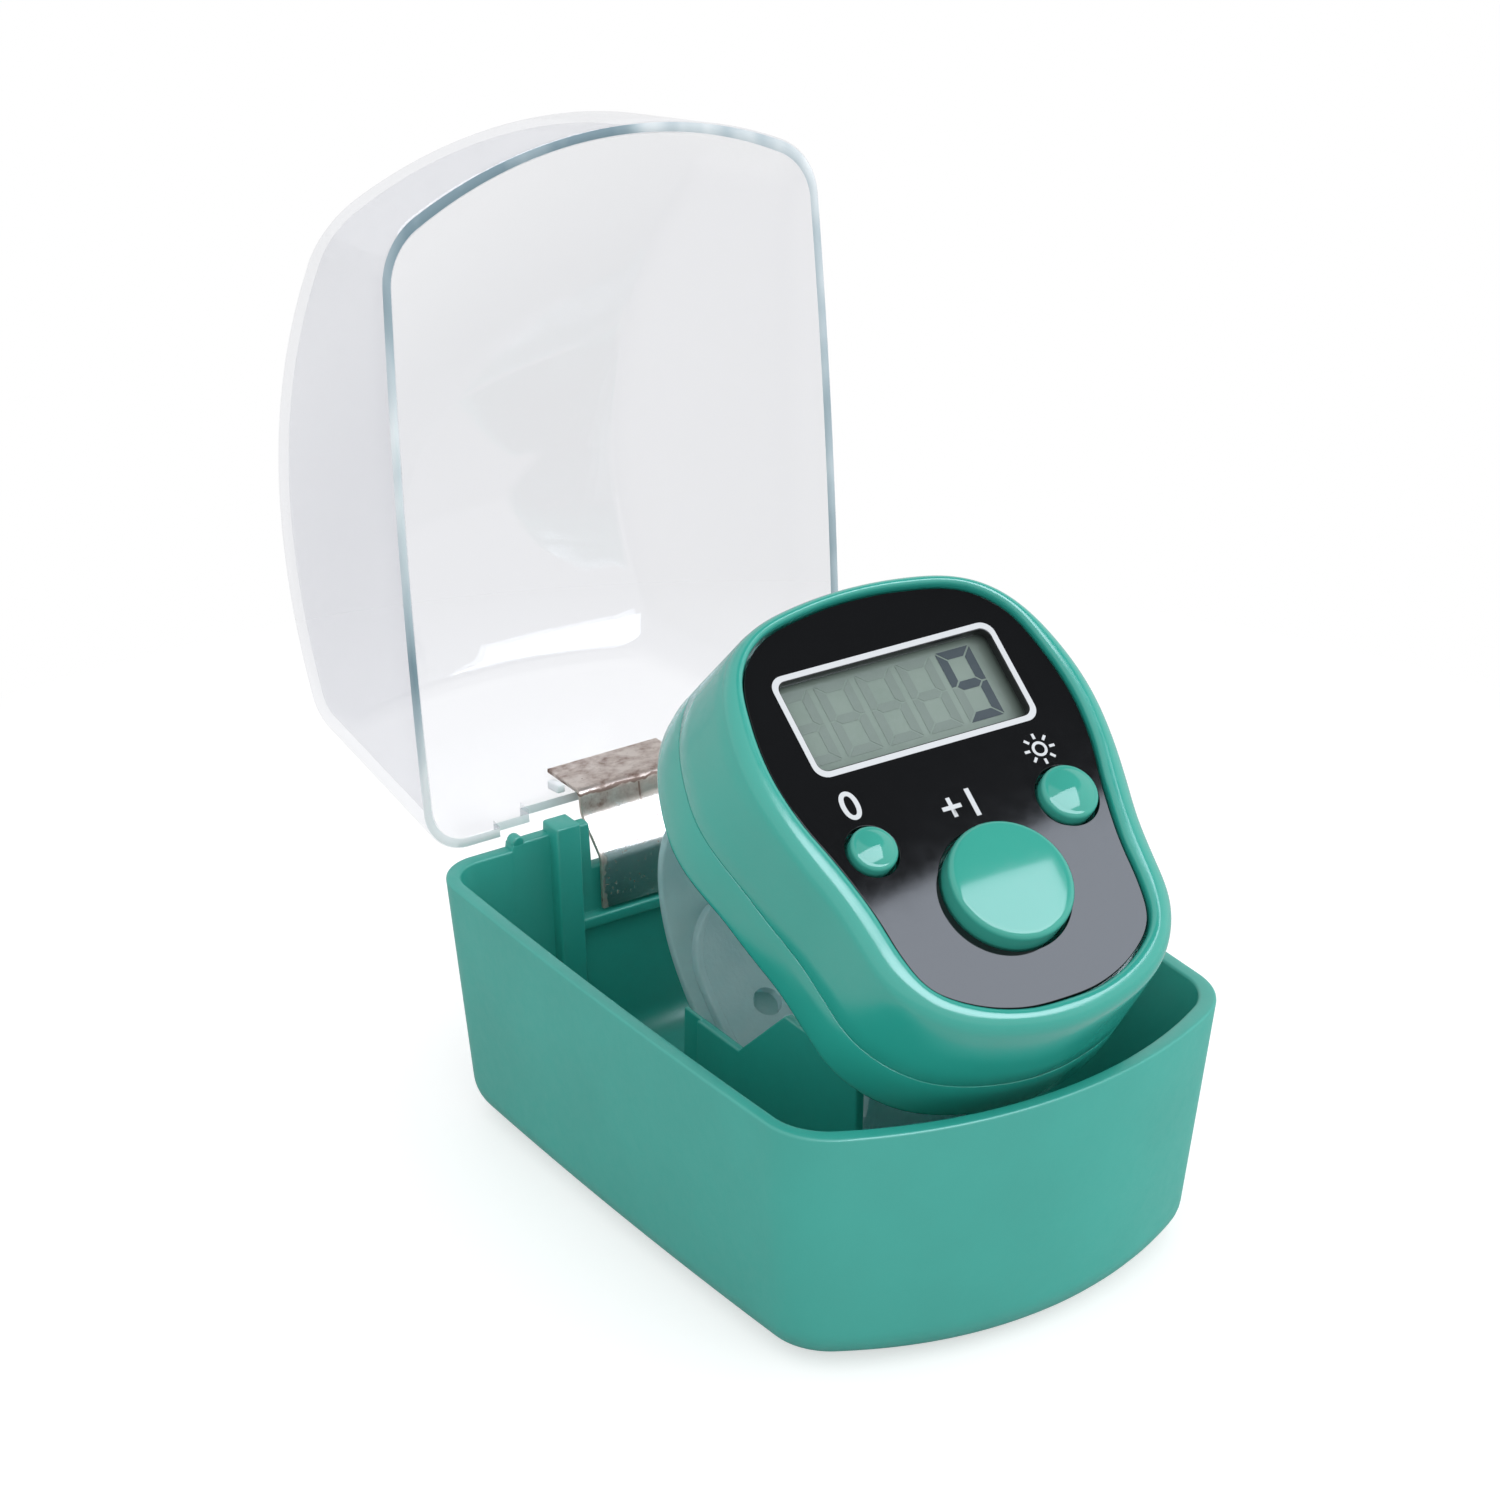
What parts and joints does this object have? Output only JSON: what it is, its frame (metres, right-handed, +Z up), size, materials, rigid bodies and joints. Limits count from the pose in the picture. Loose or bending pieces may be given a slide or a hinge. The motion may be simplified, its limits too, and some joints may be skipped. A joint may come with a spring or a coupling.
{
  "type": "digital tally counter",
  "caption": "Finger-worn digital tally counter with buttons, display and strap, lying in a small box with a clear hinged lid.",
  "frame": {"origin": "centre of the box's flat underside", "axes": "+Z up, -Y towards the bowed front wall, +Y towards the hinge, +X to the right seen from the front"},
  "size_m": [0.0408, 0.0882, 0.0754],
  "materials": {
    "case_green": "satin moulded plastic",
    "clear_plastic": "polished clear plastic",
    "shell_green": "glossy moulded plastic",
    "black_panel": "glossy black sheet",
    "display": "grey-green liquid crystal glass",
    "pink_rubber": "matt striped rubber",
    "grey_rubber": "matt silicone rubber",
    "lamp_white": "milky lens",
    "board_green": "solder mask",
    "black_epoxy": "cast resin",
    "nickel": "bright nickel plate",
    "spring_steel": "bright steel, stained in places",
    "frosted_strap": "frosted translucent soft plastic"
  },
  "bodies": {
    "tray": {"case_tray": "case_green", "hinge_clip": "spring_steel"},
    "lid": {"case_lid": "clear_plastic"},
    "counter": {"front_shell": "shell_green", "back_shell": "shell_green", "face_panel": "black_panel", "lcd_glass": "display", "zebra_connector": "pink_rubber", "light_guide": "clear_plastic", "light_led": "lamp_white", "circuit_board": "board_green", "chip_blob": "black_epoxy", "keypad_rubber": "grey_rubber", "battery_cell_left": "nickel", "battery_cell_right": "nickel", "battery_contact_positive": "nickel", "battery_contact_negative": "nickel", "battery_link_plate": "nickel", "battery_door": "shell_green", "battery_door_screw": "spring_steel", "strap_band": "frosted_strap", "strap_tongue": "frosted_strap", "shell_screw_1": "spring_steel", "shell_screw_2": "spring_steel", "shell_screw_3": "spring_steel", "shell_screw_4": "spring_steel"},
    "count": {"count_button": "shell_green"},
    "reset": {"reset_button": "shell_green"},
    "light": {"light_button": "shell_green"}
  },
  "joints": [
    {"name": "lid_hinge", "type": "hinge", "parent": "tray", "child": "lid", "pos_m": [0, 0.02479, 0.02095], "axis": [-1, 0, 0], "range_deg": [-96.8, 0], "deforming": ["hinge_clip"]},
    {"name": "counter_stow", "type": "slide", "parent": "tray", "child": "counter", "axis": [0, 0.9756, -0.2195], "range_m": [0, 0.0041]},
    {"name": "count_press", "type": "slide", "parent": "counter", "child": "count", "axis": [0.0485, 0.5805, -0.8128], "range_m": [0, 0.0006], "stiffness_N_per_m": 1500},
    {"name": "reset_press", "type": "slide", "parent": "counter", "child": "reset", "axis": [0.0485, 0.5805, -0.8128], "range_m": [0, 0.00045], "stiffness_N_per_m": 1500},
    {"name": "light_press", "type": "slide", "parent": "counter", "child": "light", "axis": [0.0485, 0.5805, -0.8128], "range_m": [0, 0.00045], "stiffness_N_per_m": 1500}
  ],
  "couplings": [
    {"joint": "counter_stow", "follows": "lid_hinge", "m_per_rad": -0.00242}
  ]
}
